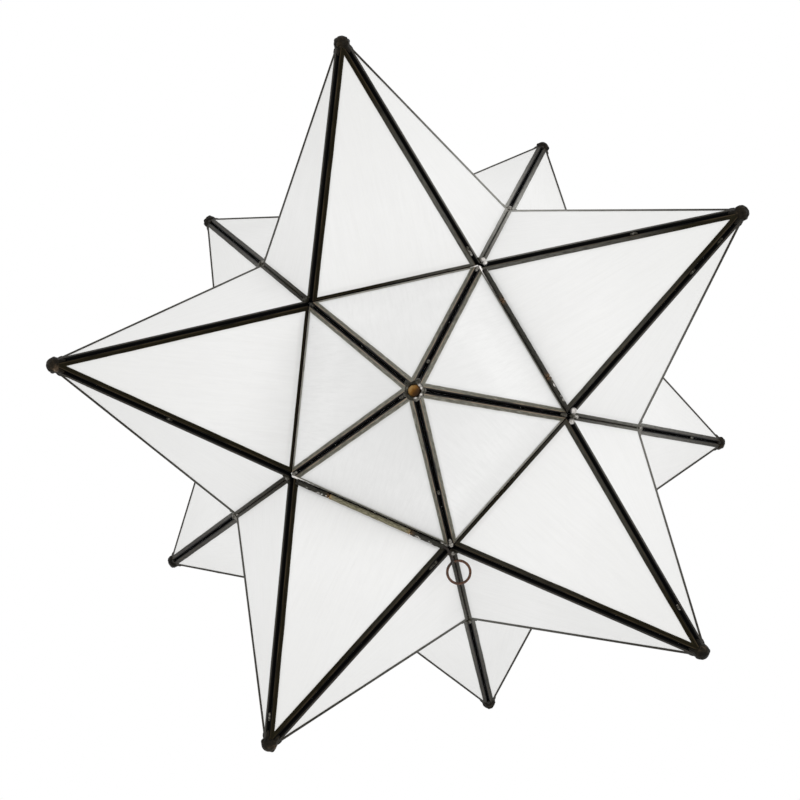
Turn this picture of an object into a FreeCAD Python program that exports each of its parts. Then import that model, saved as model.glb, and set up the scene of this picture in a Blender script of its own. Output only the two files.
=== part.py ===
import FreeCAD, Part
import math
import os

# Twelve-point glass star that hangs from one point and opens at the opposite one.
# The origin is the centre of the hanging loop's eye, +Z is up, and the axis of the star is Z.
# All sizes are in millimetres.

# ---- star
core_edge = 103.5            # foot edge of each point: an edge of the twelve-sided core
point_height = 138.3         # from the foot of a point to its sharp end
glass_thickness = 1.8
came_sheet = 0.2             # sheet that the came channel is folded from
glass_play = 0.05            # room round a pane inside its channel
ridge_flange = 3.05          # width of the came along a ridge
crease_flange = 2.55         # width of the came along a foot crease
seam_gap = 0.05              # between neighbouring cames, filled by solder in places
door_gap = 0.4               # the door's foot stands this far off the cames round it

# ---- solder
cap_radius = 5.2             # ball of solder on the end of a point
cap_depth = 3.5              # centre of that ball below the sharp end
bead_radius = 3.4            # brown core that shows in the ball
bead_rise = 2.4              # centre of the core above the centre of the ball
joint_radius = 3.6           # blob where three ridges and three creases meet
joint_rise = 1.2
door_joint_radius = 2.0      # blob on the lower end of each of the door's ridges
door_joint_reach = 5.0       # along the ridge from the corner
rim_joint_radius = 3.0       # blob on the body beside each corner of the door
rim_joint_reach = 4.5
rim_joint_rise = 1.2

# ---- hinge and latch tubes, and their wires
tube_radius = 1.5
tube_gap = 0.35              # between a tube and the came that it turns past
tube_foot = 1.4              # width of the solder under a tube
wire_radius = 0.8
wire_clearance = 0.08
body_tube_length = 21.0
tube_end_gap = 4.0           # from a corner of the door to the first tube
latch_shift = 0.65           # latch tubes stand this much further out, clear of the opening door
running_gap = 0.5            # between the door's tube and the body's
slot_clearance = 0.35        # each side of the wire in the door's latch tube
hinge_head_radius = 1.3
hinge_head_length = 0.6

# ---- latch wire beyond its last tube
latch_straight = 1.5
latch_bend_radius = 3.0
latch_bend_degrees = 43.0
latch_stem = 5.5
ring_neck_radius = 2.5
ring_neck_degrees = 70.0
ring_radius = 6.8            # to the centre of the wire
ring_degrees = 338.0

# ---- hanging loop, hood and stem
loop_eye_radius = 7.0
loop_rim = 5.0
loop_thickness = 8.0
loop_edge_round = 1.2
boss_wall = 2.9              # round the thread in the loop's boss
boss_roof = 1.0              # over that thread
stem_radius = 5.1
stem_bore = 3.4
stem_engagement = 7.0        # thread in the loop's boss
inlet_radius = 3.0           # way for the cord from the stem into the loop's eye
thread_clearance = 0.05
hood_depth = 14.0            # flat top of the hood below the sharp end of its point
hood_length = 20.0
hood_sheet = 1.2
hood_clearance = 1.0         # from the sharp ridge to the inside of the hood
washer_radius = 9.0
washer_thickness = 1.2
nut_across_flats = 15.0
nut_height = 4.0
trim_gap = 1.6               # from the nut to the cut end of the hanging point

# ---- lamp
lamp_radius = 30.0
lamp_glass = 0.8
shoulder_degrees = 35.0      # above the middle of the globe, where the cone begins
neck_start = 48.0            # above the middle of the globe
neck_length = 12.0
neck_play = 0.1
base_radius = 13.1
base_sheet = 0.8
base_length = 24.0
base_overlap = 7.0           # of the base over the neck
insulator_radius = 8.0
insulator_height = 2.0
button_radius = 4.5
button_height = 1.0
lamp_play = 0.3              # between the lamp and what it screws into

# ---- lampholder
shell_sheet = 0.5
shell_play = 0.1
shell_lip_gap = 1.5          # from the mouth of the porcelain to the screw shell
holder_wall = 6.0
holder_lip = 3.0             # porcelain below the lamp's base
holder_floor = 6.5           # porcelain between the nut recess and the contact
nut_room = 1.1               # round the nut in its recess
stem_end_length = 0.5        # of the stem past its last nut
recess_play = 0.5            # from the stem to the floor of the recess
wire_hole_radius = 3.4
cup_sheet = 0.8
cup_skirt = 20.0
cup_clearance = 0.1
contact_width = 8.0
contact_sheet = 0.6
contact_spring = 3.1         # height of the tongue over the lamp's button
holder_screw_radius = 2.0
holder_screw_head_radius = 3.6
holder_screw_head_height = 2.2
holder_screw_end = 3.5       # porcelain left under a screw

# ---- worked out from the sizes above
golden = (1 + math.sqrt(5)) / 2
sector = math.radians(72)
foot_radius = core_edge / (2 * math.sin(sector / 2))
foot_apothem = core_edge / (2 * math.tan(sector / 2))
core_inradius = core_edge * golden ** 2 / (2 * math.sqrt(3 - golden))
belt_radius = foot_radius * golden
belt_height = core_inradius / golden ** 3
tip_distance = core_inradius + point_height
lean = math.atan2(foot_apothem, point_height)
edge_lean = math.atan2(foot_apothem, core_inradius)
ridge_turn = math.acos(math.cos(lean) ** 2 * math.cos(sector) + math.sin(lean) ** 2)
ridge_angle = math.pi - ridge_turn
crease_angle = 2 * (edge_lean + lean)

came_thickness = glass_thickness + 2 * (glass_play + came_sheet)
ridge_mitre = came_thickness / 2 / math.tan(ridge_angle / 2) + seam_gap / 2
crease_mitre = came_thickness / 2 / math.tan(crease_angle / 2) + seam_gap / 2
tube_offset = (came_thickness / 2 + tube_gap + tube_radius) / math.sin(crease_angle / 2)
door_tube_start = tube_end_gap + body_tube_length + running_gap

loop_radius = loop_eye_radius + loop_rim
boss_radius = stem_radius + boss_wall
boss_height = stem_engagement + boss_roof
hole_radius = stem_radius + thread_clearance
nut_corner = nut_across_flats / math.sqrt(3)
hood_top = -(loop_radius + boss_height)
star_centre_z = hood_top + hood_depth - tip_distance
centre = FreeCAD.Vector(0, 0, star_centre_z)
up = FreeCAD.Vector(0, 0, 1)


def along(direction, length):
    """A copy of a direction, scaled to a length."""
    return FreeCAD.Vector(direction) * (length / direction.Length)


def polar(radius, degrees, height):
    """A point at a height above the centre of the star."""
    angle = math.radians(degrees)
    return centre + FreeCAD.Vector(radius * math.cos(angle), radius * math.sin(angle), height)


# ---- corners of the core, in four rings from the door upwards
rim = [polar(foot_radius, 72 * i - 18, -core_inradius) for i in range(5)]
low_belt = [polar(belt_radius, 72 * i - 18, -belt_height) for i in range(5)]
high_belt = [polar(belt_radius, 72 * i + 18, belt_height) for i in range(5)]
crown = [polar(foot_radius, 72 * i + 18, core_inradius) for i in range(5)]


def next_of(ring, i):
    """The corner after number i of a ring."""
    return ring[(i + 1) % len(ring)]


# ---- feet of the twelve points: five corners each
feet = {"door": rim[::-1], "top": crown}
for i in range(5):
    feet[f"lower_{i + 1}"] = [rim[i], next_of(rim, i), next_of(low_belt, i), high_belt[i], low_belt[i]]
    feet[f"upper_{i + 1}"] = [crown[i], high_belt[i], next_of(low_belt, i), next_of(high_belt, i),
                              next_of(crown, i)]
lower_points = [f"lower_{i + 1}" for i in range(5)]
upper_points = [f"upper_{i + 1}" for i in range(5)]


def axis_of(point):
    """Unit direction from the centre of the star to the end of a point."""
    middle = FreeCAD.Vector(0, 0, 0)
    for corner in feet[point]:
        middle += corner - centre
    return along(middle, 1)


def sharp_end(point):
    return centre + axis_of(point) * tip_distance


def sides_of(point):
    """The five sides of a point, each as its sharp end and the two corners of its foot."""
    foot = feet[point]
    return [(sharp_end(point), foot[i], next_of(foot, i)) for i in range(5)]


def outward(side):
    """Unit normal of a side that points out of its point."""
    end, left, right = side
    normal = along((left - end).cross(right - end), 1)
    foot_middle = (left + right) / 2
    axis = end - centre
    away = foot_middle - centre - axis * ((foot_middle - centre).dot(axis) / axis.dot(axis))
    if normal.dot(away) < 0:
        normal = normal * -1
    return normal


def inset_corner(corner, before, after, inset_before, inset_after):
    """A triangle's corner after its two sides have moved in."""
    to_before = along(before - corner, 1)
    to_after = along(after - corner, 1)
    spread = math.sin(to_before.getAngle(to_after))
    return corner + to_after * (inset_before / spread) + to_before * (inset_after / spread)


def slab(side, ridge_inset, crease_inset, low, high):
    """A triangular plate in the plane of a side, between two heights over that plane."""
    end, left, right = side
    normal = outward(side)
    outline = [
        inset_corner(end, left, right, ridge_inset, ridge_inset),
        inset_corner(left, right, end, crease_inset, ridge_inset),
        inset_corner(right, end, left, ridge_inset, crease_inset),
    ]
    outline = [corner + normal * low for corner in outline]
    return Part.Face(Part.makePolygon(outline + outline[:1])).extrude(normal * (high - low))


def foot_inset(point):
    """How far the came stands in from the foot crease."""
    return crease_mitre + (door_gap if point == "door" else 0)


def blank(point, side):
    """The outside of one came frame, as a solid plate."""
    half = came_thickness / 2
    return slab(side, ridge_mitre, foot_inset(point), -half, half)


def came(point, side):
    """One folded channel frame, open to the middle on both faces."""
    half = came_thickness / 2
    pocket = half - came_sheet
    wall = slab(side, ridge_mitre + came_sheet, foot_inset(point) + came_sheet, -pocket, pocket)
    window = slab(side, ridge_mitre + ridge_flange, foot_inset(point) + crease_flange, -half, half)
    return blank(point, side).cut(wall).cut(window)


def pane(point, side):
    """One sheet of frosted glass."""
    margin = came_sheet + glass_play
    half = glass_thickness / 2
    return slab(side, ridge_mitre + margin, foot_inset(point) + margin, -half, half)


def largest(shape):
    """The biggest solid of a cut."""
    return max(shape.Solids, key=lambda solid: solid.Volume)


def filled_point(point, room=0):
    """A point filled in, out to its cames' faces and some room, and on below its foot."""
    end = sharp_end(point)
    top = end + axis_of(point) * ((came_thickness / 2 + room) / math.sin(lean))
    low = [top + (corner - end) * 1.2 for corner in feet[point]]
    outlines = [[top, low[i], next_of(low, i)] for i in range(5)] + [low]
    faces = [Part.Face(Part.makePolygon(outline + outline[:1])) for outline in outlines]
    return Part.Solid(Part.Shell(faces))


def blob(place, radius, neighbours):
    """A ball of solder, cut away where the points stand in it."""
    return largest(Part.makeSphere(radius, place, along(place - centre, 1)).cut(neighbours))


def cut_end(shape, height):
    """Take off what stands above a height."""
    size = 2 * point_height
    return shape.cut(Part.makeBox(size, size, size, FreeCAD.Vector(-size / 2, -size / 2, height)))


# ---- hanging gear, from the top down
washer_top = hood_top - hood_sheet
nut_top = washer_top - washer_thickness
trim_height = nut_top - nut_height - trim_gap

# ---- points
blanks = {point: [blank(point, side) for side in sides_of(point)] for point in feet}
nodes = {}
for point in feet:
    cames = [came(point, side) for side in sides_of(point)]
    panes = [pane(point, side) for side in sides_of(point)]
    if point == "top":
        cames = [cut_end(shape, trim_height) for shape in cames]
        panes = [cut_end(shape, trim_height) for shape in panes]
    nodes[f"came_{point}"] = cames
    nodes[f"glass_{point}"] = panes


# ---- tip caps
def tip_cap(point):
    """Solder ball and the brown core in it, on the end of a point."""
    axis = axis_of(point)
    came_end = max((vertex.Point - centre).dot(axis) for vertex in blanks[point][0].Vertexes)
    beyond = Part.makeCylinder(2 * cap_radius, 2 * point_height, centre + axis * came_end, axis)
    stump = filled_point(point).cut(beyond)
    ball_centre = sharp_end(point) - axis * cap_depth
    core = Part.makeSphere(bead_radius, ball_centre + axis * bead_rise, axis)
    ball = Part.makeSphere(cap_radius, ball_centre, axis)
    return largest(ball.cut([stump, core])), largest(core.cut(stump))


for group, members in {"door": ["door"], "lower": lower_points, "upper": upper_points}.items():
    caps = [tip_cap(point) for point in members]
    nodes[f"tip_cap_{group}"] = [cap for cap, core in caps]
    nodes[f"tip_bead_{group}"] = [core for cap, core in caps]


# ---- solder where the points meet
def corner_joint(corner):
    meeting = [filled_point(point) for point in feet if corner in feet[point]]
    return blob(corner + along(corner - centre, joint_rise), joint_radius, meeting)


def rim_joint(i):
    """Blob on the body beside the door, at the end of the crease between two lower points."""
    place = rim[i] + along(low_belt[i] - rim[i], rim_joint_reach)
    meeting = [filled_point(point) for point in lower_points if rim[i] in feet[point]]
    meeting.append(filled_point("door", door_gap))
    return blob(place + along(place - centre, rim_joint_rise), rim_joint_radius, meeting)


def door_joint(i):
    """Blob on the lower end of one of the door's ridges."""
    place = rim[i] + along(sharp_end("door") - rim[i], door_joint_reach)
    beside = [filled_point(point, door_gap) for point in lower_points if rim[i] in feet[point]]
    return blob(place, door_joint_radius, beside + [filled_point("door")])


nodes["solder_crown"] = [corner_joint(corner) for corner in crown]
nodes["solder_belt"] = [corner_joint(corner) for corner in high_belt + low_belt]
nodes["solder_rim"] = [rim_joint(i) for i in range(5)]
nodes["solder_door"] = [door_joint(i) for i in range(5)]


# ---- hinge and latch
class Crease:
    """One foot crease of the door, with the line that its tubes stand on."""

    def __init__(self, first, last, shift=0):
        self.start = rim[first]
        self.run = along(rim[last] - rim[first], 1)
        self.out = along((rim[first] + rim[last]) / 2 - centre, 1)
        self.door_normal = self.normal_at("door")
        neighbour = next(name for name in lower_points
                         if rim[first] in feet[name] and rim[last] in feet[name])
        self.body_normal = self.normal_at(neighbour)
        away = self.out - self.body_normal * self.out.dot(self.body_normal)
        self.line = self.start + self.out * tube_offset + along(away, 1) * shift

    def normal_at(self, point):
        middle = self.start + self.run * (core_edge / 2)
        side = min(sides_of(point), key=lambda s: ((s[1] + s[2]) / 2 - middle).Length)
        return outward(side)

    def tube(self, start, length, normal):
        """A tube soldered along the came whose outer face has this normal."""
        place = self.line + self.run * start
        body = Part.makeCylinder(tube_radius, length, place, self.run)
        across = along(normal.cross(self.run), tube_foot / 2)
        height = (self.line - self.start).dot(normal) - came_thickness / 2
        reach = normal * -height
        outline = [place - across, place + across, place + across + reach, place - across + reach]
        foot = Part.Face(Part.makePolygon(outline + outline[:1])).extrude(self.run * length)
        bore = Part.makeCylinder(wire_radius + wire_clearance, length, place, self.run)
        return body.fuse(foot).cut(bore).removeSplitter()

    def body_tubes(self):
        starts = [tube_end_gap, core_edge - tube_end_gap - body_tube_length]
        return [self.tube(start, body_tube_length, self.body_normal) for start in starts]

    def door_tube(self):
        return self.tube(door_tube_start, core_edge - 2 * door_tube_start, self.door_normal)


hinge = Crease(1, 2)
latch = Crease(4, 3, latch_shift)
nodes["hinge_tubes_body"] = hinge.body_tubes()
nodes["hinge_tube_door"] = [hinge.door_tube()]
nodes["latch_tubes_body"] = latch.body_tubes()

# The inner side of the door's latch tube is open, so that the door can swing clear of the wire.
slot_half = wire_radius + slot_clearance
across_slot = along(latch.run.cross(up), slot_half)
slot_start = latch.line + latch.run * (door_tube_start - running_gap)
slot_outline = [slot_start - across_slot, slot_start + across_slot]
slot_outline += [corner + up * (2 * tube_radius) for corner in reversed(slot_outline)]
slot = Part.Face(Part.makePolygon(slot_outline + slot_outline[:1])).extrude(
    latch.run * (core_edge - 2 * (door_tube_start - running_gap)))
nodes["latch_tube_door"] = [largest(latch.door_tube().cut(slot))]

# The hinge wire is headed over against the outer ends of the body's tubes.
hinge_wire_start = hinge.line + hinge.run * (tube_end_gap - hinge_head_length)
hinge_wire_length = core_edge - 2 * tube_end_gap + 2 * hinge_head_length
hinge_wire = Part.makeCylinder(wire_radius, hinge_wire_length, hinge_wire_start, hinge.run)
far_head = hinge_wire_start + hinge.run * (hinge_wire_length - hinge_head_length)
for head_place in (hinge_wire_start, far_head):
    head = Part.makeCylinder(hinge_head_radius, hinge_head_length, head_place, hinge.run)
    hinge_wire = hinge_wire.fuse(head)
nodes["hinge_pin"] = [hinge_wire.removeSplitter()]


class Wire:
    """A round wire laid in a horizontal plane, piece by piece."""

    def __init__(self, place, heading):
        self.place = place
        self.heading = heading
        self.pieces = []

    def section(self):
        return Part.Face(Part.Wire(Part.makeCircle(wire_radius, self.place, self.heading)))

    def forward(self, length):
        self.pieces.append(self.section().extrude(self.heading * length))
        self.place = self.place + self.heading * length

    def turn(self, radius, degrees):
        """Bend to the left by a positive angle and to the right by a negative one."""
        side = math.copysign(1, degrees)
        pivot = self.place + up.cross(self.heading) * (radius * side)
        self.pieces.append(self.section().revolve(pivot, up * side, abs(degrees)))
        spin = FreeCAD.Rotation(up, degrees)
        self.place = pivot + spin.multVec(self.place - pivot)
        self.heading = spin.multVec(self.heading)

    def solid(self):
        whole = self.pieces[0].fuse(self.pieces[1:])
        return whole.removeSplitter().Solids[0]


latch_wire = Wire(latch.line + latch.run * tube_end_gap, latch.run)
latch_wire.forward(core_edge - 2 * tube_end_gap + latch_straight)
latch_wire.turn(latch_bend_radius, latch_bend_degrees)
latch_wire.forward(latch_stem)
latch_wire.turn(ring_neck_radius, ring_neck_degrees)
latch_wire.turn(ring_radius, -ring_degrees)
nodes["latch_pin"] = [latch_wire.solid()]


# ---- turned pieces
def turned(profile):
    """A solid of revolution about Z, from (radius, height) pairs."""
    outline = [FreeCAD.Vector(radius, 0, height) for radius, height in profile]
    return Part.Face(Part.makePolygon(outline + outline[:1])).revolve(FreeCAD.Vector(0, 0, 0), up, 360)


def nut(bottom):
    """A plain hexagon nut on the Z axis."""
    outline = []
    for i in range(6):
        angle = math.radians(60 * i)
        outline.append(FreeCAD.Vector(nut_corner * math.cos(angle), nut_corner * math.sin(angle), bottom))
    body = Part.Face(Part.makePolygon(outline + outline[:1])).extrude(up * nut_height)
    return body.cut(Part.makeCylinder(hole_radius, nut_height, FreeCAD.Vector(0, 0, bottom)))


# ---- hanging loop: a flat ring with a round eye along Y, on a threaded boss
ring_start = FreeCAD.Vector(0, -loop_thickness / 2, 0)
across_loop = FreeCAD.Vector(0, 1, 0)
ring = Part.makeCylinder(loop_radius, loop_thickness, ring_start, across_loop)
ring = ring.makeFillet(loop_edge_round, ring.Edges)
boss_bottom = FreeCAD.Vector(0, 0, hood_top)
boss = Part.makeCylinder(boss_radius, loop_radius + boss_height, boss_bottom)
boss = boss.cut(Part.makeBox(4 * boss_radius, 4 * boss_radius, loop_radius,
                             FreeCAD.Vector(-2 * boss_radius, -2 * boss_radius, -loop_eye_radius)))
eye = Part.makeCylinder(loop_eye_radius, loop_thickness, ring_start, across_loop)
socket = Part.makeCylinder(stem_radius + thread_clearance, stem_engagement, boss_bottom)
inlet = Part.makeCylinder(inlet_radius, loop_radius + boss_height, boss_bottom)
nodes["hanging_loop"] = [ring.fuse(boss).cut(eye).cut(socket).cut(inlet).removeSplitter()]

# ---- hood over the trimmed hanging point
flare = foot_radius / point_height
hood_wall = hood_sheet / math.cos(math.atan(flare))


def hood_inside(depth):
    """Inner radius of the hood at a depth below the sharp end."""
    return flare * depth + hood_clearance


hood_bottom = hood_top - hood_length
inner_top = hood_inside(hood_depth + hood_sheet)
inner_bottom = hood_inside(hood_depth + hood_length)
nodes["top_hood"] = [turned([
    (hole_radius, hood_top),
    (inner_top + hood_wall - flare * hood_sheet, hood_top),
    (inner_bottom + hood_wall, hood_bottom),
    (inner_bottom, hood_bottom),
    (inner_top, hood_top - hood_sheet),
    (hole_radius, hood_top - hood_sheet),
])]
nodes["top_washer"] = [turned([
    (hole_radius, washer_top),
    (washer_radius, washer_top),
    (washer_radius, nut_top),
    (hole_radius, nut_top),
])]
nodes["top_nut"] = [nut(nut_top - nut_height)]

# ---- lamp: heights from the middle of the globe, which is the centre of the star
base_low = star_centre_z + neck_start + neck_length - base_overlap
base_high = base_low + base_length
lamp_top = base_high + insulator_height + button_height


def lamp_edges(inset):
    """Globe, shoulder and neck of the lamp as one open line, moved in by an inset."""
    globe = lamp_radius - inset
    neck = base_radius - base_sheet - neck_play - inset
    angle = math.radians(shoulder_degrees)
    low = FreeCAD.Vector(0, 0, star_centre_z - globe)
    side = FreeCAD.Vector(globe, 0, star_centre_z)
    shoulder = FreeCAD.Vector(globe * math.cos(angle), 0, star_centre_z + globe * math.sin(angle))
    neck_low = FreeCAD.Vector(neck, 0, star_centre_z + neck_start)
    neck_high = FreeCAD.Vector(neck, 0, star_centre_z + neck_start + neck_length)
    arc = Part.Arc(low, side, shoulder).toShape()
    cone = Part.LineSegment(shoulder, neck_low).toShape()
    return [arc, cone, Part.LineSegment(neck_low, neck_high).toShape()]


outer = lamp_edges(0)
inner = lamp_edges(lamp_glass)
mouth = Part.LineSegment(outer[-1].Vertexes[-1].Point, inner[-1].Vertexes[-1].Point).toShape()
bottom = Part.LineSegment(inner[0].Vertexes[0].Point, outer[0].Vertexes[0].Point).toShape()
lamp_wire = Part.Wire(Part.__sortEdges__(outer + [mouth] + inner + [bottom]))
nodes["lamp_glass"] = [Part.Face(lamp_wire).revolve(FreeCAD.Vector(0, 0, 0), up, 360)]
nodes["lamp_base"] = [turned([
    (base_radius - base_sheet, base_low),
    (base_radius, base_low),
    (base_radius, base_high - insulator_height),
    (insulator_radius, base_high),
    (insulator_radius - base_sheet, base_high),
    (base_radius - base_sheet, base_high - insulator_height - base_sheet),
])]
nodes["lamp_insulator"] = [turned([
    (0, base_high),
    (insulator_radius, base_high),
    (button_radius, base_high + insulator_height),
    (0, base_high + insulator_height),
])]
nodes["lamp_button"] = [turned([
    (0, base_high + insulator_height),
    (button_radius, base_high + insulator_height),
    (button_radius - button_height, lamp_top),
    (0, lamp_top),
])]

# ---- lampholder, built up round the lamp's base
tongue_low = lamp_top + lamp_play
plate_bottom = tongue_low + contact_sheet + contact_spring
recess_floor = plate_bottom + holder_floor
stem_bottom = recess_floor + recess_play
plate_top = stem_bottom + stem_end_length + nut_height
holder_low = base_low - holder_lip
shell_inside = base_radius + lamp_play
shell_outside = shell_inside + shell_sheet
well_radius = shell_outside + shell_play
holder_radius = well_radius + holder_wall
recess_radius = nut_corner + nut_room
cup_top = plate_top + cup_sheet
cup_inside = holder_radius + cup_clearance

porcelain = turned([
    (wire_hole_radius, recess_floor),
    (recess_radius, recess_floor),
    (recess_radius, plate_top),
    (holder_radius, plate_top),
    (holder_radius, holder_low),
    (well_radius, holder_low),
    (well_radius, plate_bottom),
    (wire_hole_radius, plate_bottom),
])
cup = turned([
    (hole_radius, cup_top),
    (cup_inside + cup_sheet, cup_top),
    (cup_inside + cup_sheet, cup_top - cup_skirt),
    (cup_inside, cup_top - cup_skirt),
    (cup_inside, plate_top),
    (hole_radius, plate_top),
])
screw_place = (recess_radius + holder_radius) / 2
screw_low = plate_bottom + holder_screw_end
screw_length = cup_top - screw_low
screws = []
for place_x in (-screw_place, screw_place):
    screw_start = FreeCAD.Vector(place_x, 0, screw_low)
    shank = Part.makeCylinder(holder_screw_radius, screw_length, screw_start)
    head = Part.makeCylinder(holder_screw_head_radius, holder_screw_head_height,
                             FreeCAD.Vector(place_x, 0, cup_top))
    screws.append(shank.fuse(head).removeSplitter())
    hole = Part.makeCylinder(holder_screw_radius + thread_clearance, screw_length, screw_start)
    porcelain = porcelain.cut(hole)
    cup = cup.cut(hole)
nodes["holder_body"] = [porcelain]
nodes["holder_cup"] = [cup]
nodes["holder_screws"] = screws
nodes["holder_nuts"] = [nut(cup_top), nut(plate_top - nut_height)]
nodes["holder_shell"] = [turned([
    (shell_inside, holder_low + shell_lip_gap),
    (shell_outside, holder_low + shell_lip_gap),
    (shell_outside, plate_bottom),
    (insulator_radius, plate_bottom),
    (insulator_radius, plate_bottom - shell_sheet),
    (shell_inside, plate_bottom - shell_sheet),
])]

# A bent tongue: up against the porcelain, then across over the lamp's button.
tongue_depth = contact_width / 2
tongue = Part.makeBox(contact_width, tongue_depth, contact_sheet,
                      FreeCAD.Vector(-contact_width / 2, -tongue_depth / 2, tongue_low))
riser = Part.makeBox(contact_sheet, tongue_depth, plate_bottom - tongue_low,
                     FreeCAD.Vector(contact_width / 2 - contact_sheet, -tongue_depth / 2, tongue_low))
nodes["holder_contact"] = [tongue.fuse(riser).removeSplitter()]

# ---- stem pipe between the loop and the lampholder
stem_top = hood_top + stem_engagement
nodes["stem_pipe"] = [turned([
    (stem_bore, stem_top),
    (stem_radius, stem_top),
    (stem_radius, stem_bottom),
    (stem_bore, stem_bottom),
])]

# ---- one file for each node
os.makedirs("parts", exist_ok=True)
for name, solids in nodes.items():
    shape = solids[0] if len(solids) == 1 else Part.makeCompound(solids)
    if not shape.isValid():
        raise ValueError(f"{name} isn't a valid shape")
    shape.exportStep(f"parts/{name}.step")
    print(name, len(shape.Solids), round(shape.Volume, 1))
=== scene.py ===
import random
from collections import namedtuple
from math import acos, atan, atan2, copysign, cos, exp, inf, pi, radians, sin, sqrt, tan, tau

import bpy
import bmesh
from mathutils import Matrix, Vector, kdtree, noise


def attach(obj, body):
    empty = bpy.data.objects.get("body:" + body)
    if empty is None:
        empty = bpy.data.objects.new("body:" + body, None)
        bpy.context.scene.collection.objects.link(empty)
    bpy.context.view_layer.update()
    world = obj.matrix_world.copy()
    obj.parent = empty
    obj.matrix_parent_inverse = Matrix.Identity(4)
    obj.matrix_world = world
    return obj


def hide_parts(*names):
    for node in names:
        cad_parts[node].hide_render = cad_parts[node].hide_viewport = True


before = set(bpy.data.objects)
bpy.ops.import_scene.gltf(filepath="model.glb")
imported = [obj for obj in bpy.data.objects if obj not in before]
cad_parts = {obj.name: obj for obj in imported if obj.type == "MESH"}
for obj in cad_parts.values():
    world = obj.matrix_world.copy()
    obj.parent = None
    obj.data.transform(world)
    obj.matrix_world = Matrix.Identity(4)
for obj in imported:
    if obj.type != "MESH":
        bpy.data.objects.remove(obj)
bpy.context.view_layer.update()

# The star in millimetres: +Z up, the hanging loop's eye at the origin, the lamp door at the bottom.
MM = 0.001
CORE_EDGE = 103.5
POINT_HEIGHT = 138.3
CENTRE = Vector((0, 0, -259.549))
CAME_HALF = 1.15
GLASS_HALF = 0.9
GLASS_MARGIN = 0.25
PANE_BEVEL = 0.15
RIDGE_FLANGE = 3.05
CREASE_FLANGE = 2.55
SEAM_GAP = 0.05
DOOR_GAP = 0.4
TRIM_HEIGHT = -27.99

TUBE_RADIUS = 1.5
TUBE_INSIDE = 0.95
TUBE_GAP = 0.35
TUBE_END_GAP = 4.0
BODY_TUBE_LENGTH = 21.0
RUNNING_GAP = 0.5
LATCH_SHIFT = 0.65
WIRE_RADIUS = 0.8
RING_RADIUS = 6.8

GOLDEN = (1 + sqrt(5)) / 2
SECTOR = radians(72)
FOOT_RADIUS = CORE_EDGE / (2 * sin(SECTOR / 2))
FOOT_APOTHEM = CORE_EDGE / (2 * tan(SECTOR / 2))
CORE_INRADIUS = CORE_EDGE * GOLDEN ** 2 / (2 * sqrt(3 - GOLDEN))
LEAN = atan2(FOOT_APOTHEM, POINT_HEIGHT)
EDGE_LEAN = atan2(FOOT_APOTHEM, CORE_INRADIUS)
RIDGE_ANGLE = pi - acos(cos(LEAN) ** 2 * cos(SECTOR) + sin(LEAN) ** 2)
CREASE_ANGLE = 2 * (EDGE_LEAN + LEAN)
RIDGE_MITRE = CAME_HALF / tan(RIDGE_ANGLE / 2) + SEAM_GAP / 2
CREASE_MITRE = CAME_HALF / tan(CREASE_ANGLE / 2) + SEAM_GAP / 2
TUBE_OFFSET = (CAME_HALF + TUBE_GAP + TUBE_RADIUS) / sin(CREASE_ANGLE / 2)
DOOR_TUBE_START = TUBE_END_GAP + BODY_TUBE_LENGTH + RUNNING_GAP
UP = Vector((0, 0, 1))


def turned(radius, angle, height):
    """A place at a radius and an angle round the Z axis."""
    return Vector((radius * cos(angle), radius * sin(angle), height))


def ring(radius, turn, height):
    """Five places round the axis of the star, at a height from its centre."""
    return [CENTRE + turned(radius, radians(72 * i + turn), height) for i in range(5)]


BELT_RADIUS = FOOT_RADIUS * GOLDEN
BELT_HEIGHT = CORE_INRADIUS / GOLDEN ** 3
RIM = ring(FOOT_RADIUS, -18, -CORE_INRADIUS)
LOW_BELT = ring(BELT_RADIUS, -18, -BELT_HEIGHT)
HIGH_BELT = ring(BELT_RADIUS, 18, BELT_HEIGHT)
CROWN = ring(FOOT_RADIUS, 18, CORE_INRADIUS)


def next_of(items, i):
    return items[(i + 1) % len(items)]


FEET = {"door": RIM[::-1], "top": CROWN}
for i in range(5):
    FEET[f"lower_{i + 1}"] = [RIM[i], next_of(RIM, i), next_of(LOW_BELT, i), HIGH_BELT[i], LOW_BELT[i]]
    FEET[f"upper_{i + 1}"] = [CROWN[i], HIGH_BELT[i], next_of(LOW_BELT, i), next_of(HIGH_BELT, i),
                              next_of(CROWN, i)]


def axis_of(point):
    return sum((corner - CENTRE for corner in FEET[point]), Vector()).normalized()


def sharp_end(point):
    return CENTRE + axis_of(point) * (CORE_INRADIUS + POINT_HEIGHT)


DOOR_END = sharp_end("door")


def sides_of(point):
    foot = FEET[point]
    return [(sharp_end(point), foot[i], next_of(foot, i)) for i in range(5)]


def outward(end, left, right):
    """Unit normal of a side of a point, out of the star."""
    normal = (left - end).cross(right - end).normalized()
    axis = end - CENTRE
    foot = (left + right) / 2 - CENTRE
    away = foot - axis * (foot.dot(axis) / axis.dot(axis))
    return -normal if normal.dot(away) < 0 else normal


def way_in(start, finish, normal, inside):
    """Unit direction from an edge of a side towards its middle."""
    across = normal.cross(finish - start).normalized()
    return -across if across.dot(inside - start) < 0 else across


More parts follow.
